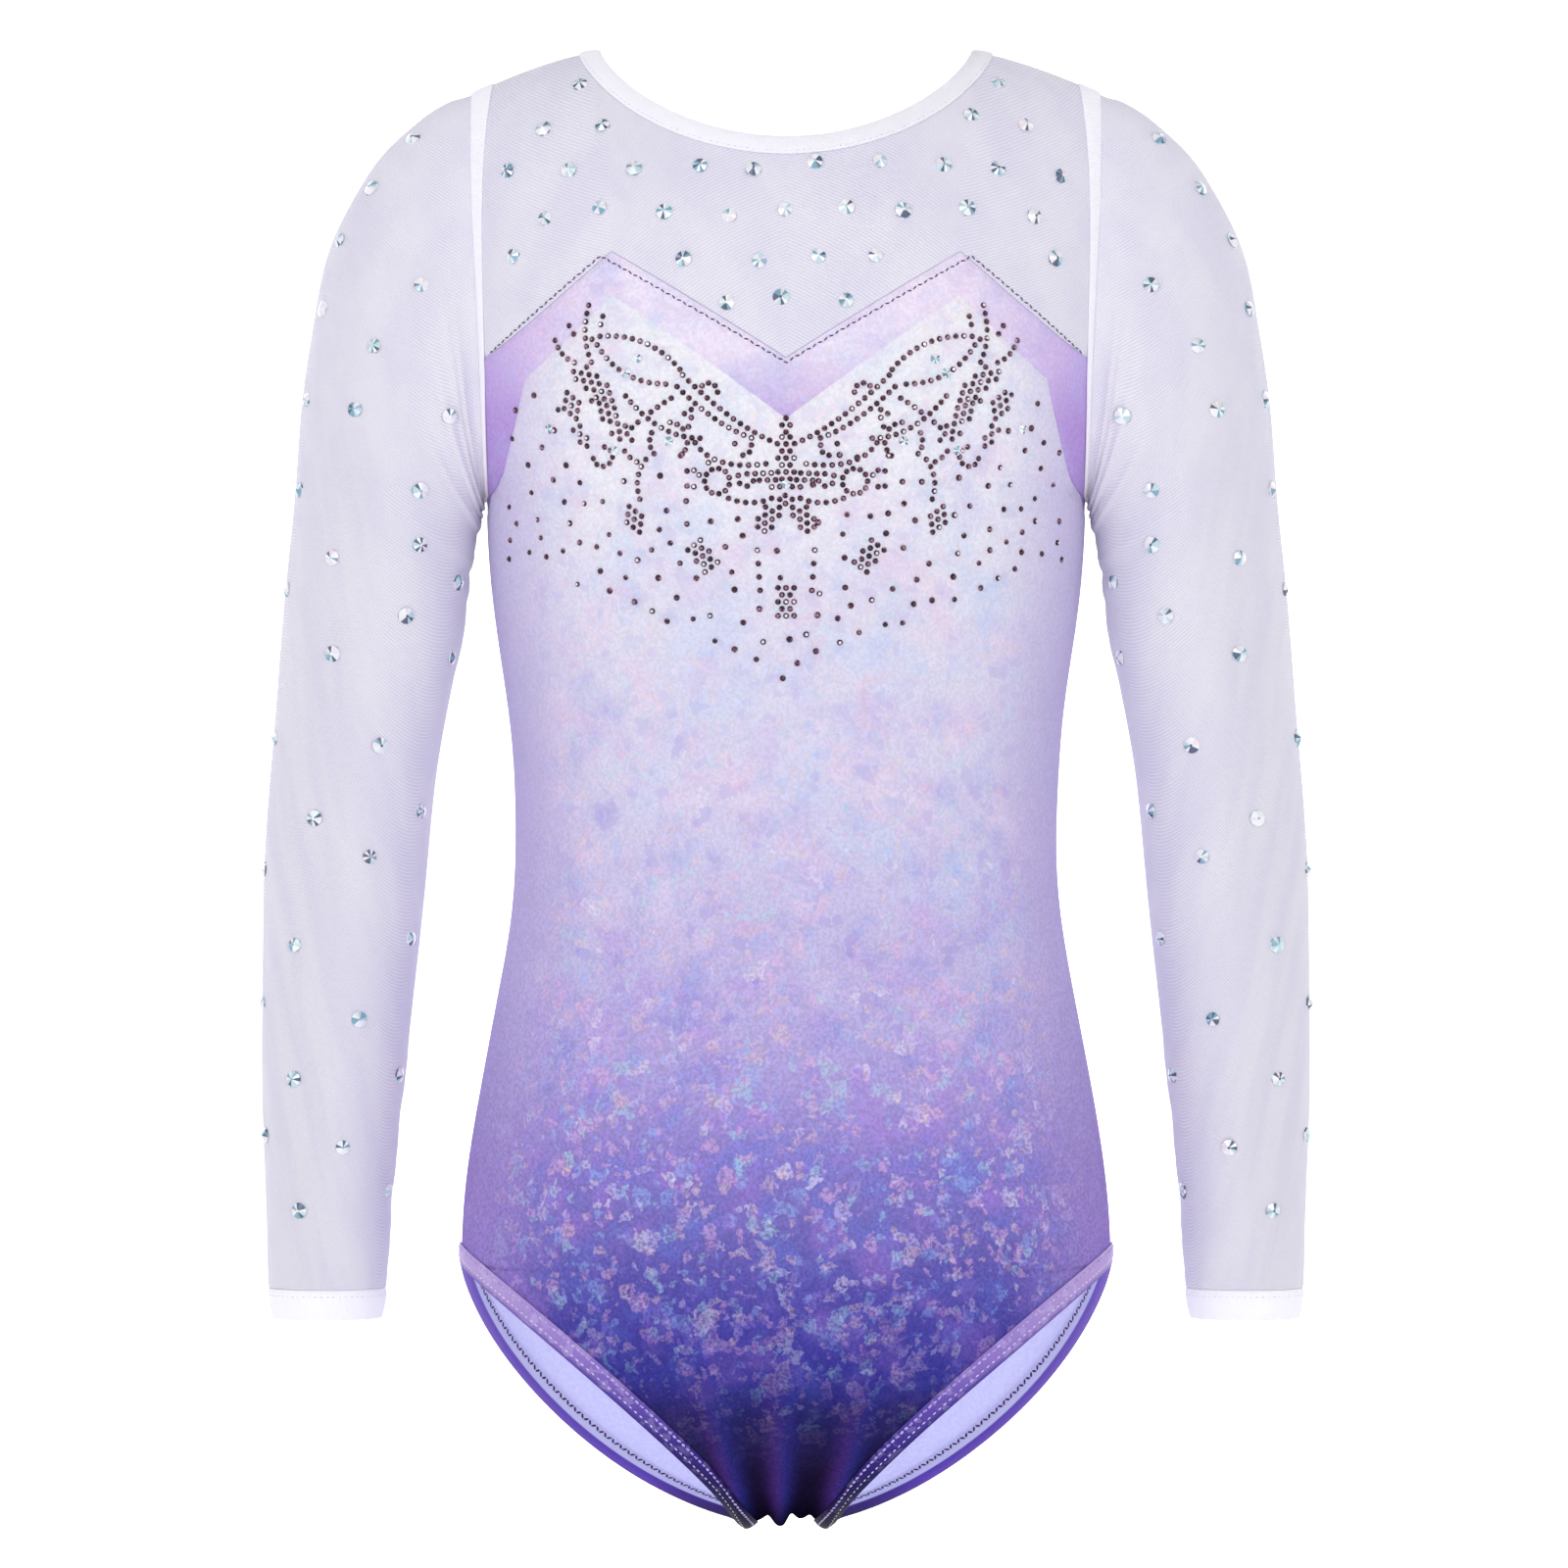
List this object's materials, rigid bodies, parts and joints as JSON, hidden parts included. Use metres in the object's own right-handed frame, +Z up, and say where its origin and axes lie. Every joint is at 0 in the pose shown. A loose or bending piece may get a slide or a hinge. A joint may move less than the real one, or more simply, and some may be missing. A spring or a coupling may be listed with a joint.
{
  "type": "gymnastics leotard",
  "caption": "Child's long-sleeved gymnastics leotard in foil stretch fabric, with a sheer mesh yoke and sleeves and a sweetheart band, in its worn shape.",
  "frame": {"origin": "middle of the crotch seam, where the garment rests on its wearer", "axes": "+Z up to the neck, front towards -Y, the wearer's left towards +X"},
  "size_m": [0.3748, 0.168, 0.5278],
  "materials": {
    "foil": "holographic foil print on stretch jersey, white at the chest and deep violet at the crotch, semi-gloss",
    "band_foil": "lavender foil jersey, semi-gloss",
    "power_mesh": "fine sheer power mesh, matt",
    "white_trim": "white jersey, matt",
    "hem_foil": "turned foil jersey, semi-gloss",
    "elastic": "woven elastic, matt",
    "lining": "brushed jersey, matt",
    "seam_thread": "overlock thread, matt"
  },
  "bodies": {
    "torso": {"front_panel": "foil", "back_panel": "foil", "sweetheart_band": "band_foil", "front_yoke": "power_mesh", "back_yoke": "power_mesh", "neck_binding": "white_trim", "neck_elastic": "elastic", "crotch_lining": "lining", "crotch_seam": "seam_thread", "left_armhole_tape": "white_trim", "left_leg_hem": "hem_foil", "left_leg_elastic": "elastic", "left_side_seam": "seam_thread", "left_shoulder_seam": "seam_thread", "right_armhole_tape": "white_trim", "right_leg_hem": "hem_foil", "right_leg_elastic": "elastic", "right_side_seam": "seam_thread", "right_shoulder_seam": "seam_thread"},
    "left_sleeve_arm": {"left_sleeve": "power_mesh", "left_cuff": "white_trim", "left_sleeve_seam": "seam_thread"},
    "right_sleeve_arm": {"right_sleeve": "power_mesh", "right_cuff": "white_trim", "right_sleeve_seam": "seam_thread"}
  },
  "joints": [
    {"name": "left_sleeve_raise", "type": "hinge", "parent": "torso", "child": "left_sleeve_arm", "pos_m": [0.1128, 0, 0.51], "axis": [0, -1, 0], "range_deg": [0, 60]},
    {"name": "right_sleeve_raise", "type": "hinge", "parent": "torso", "child": "right_sleeve_arm", "pos_m": [-0.1128, 0, 0.51], "axis": [0, 1, 0], "range_deg": [0, 60]}
  ]
}
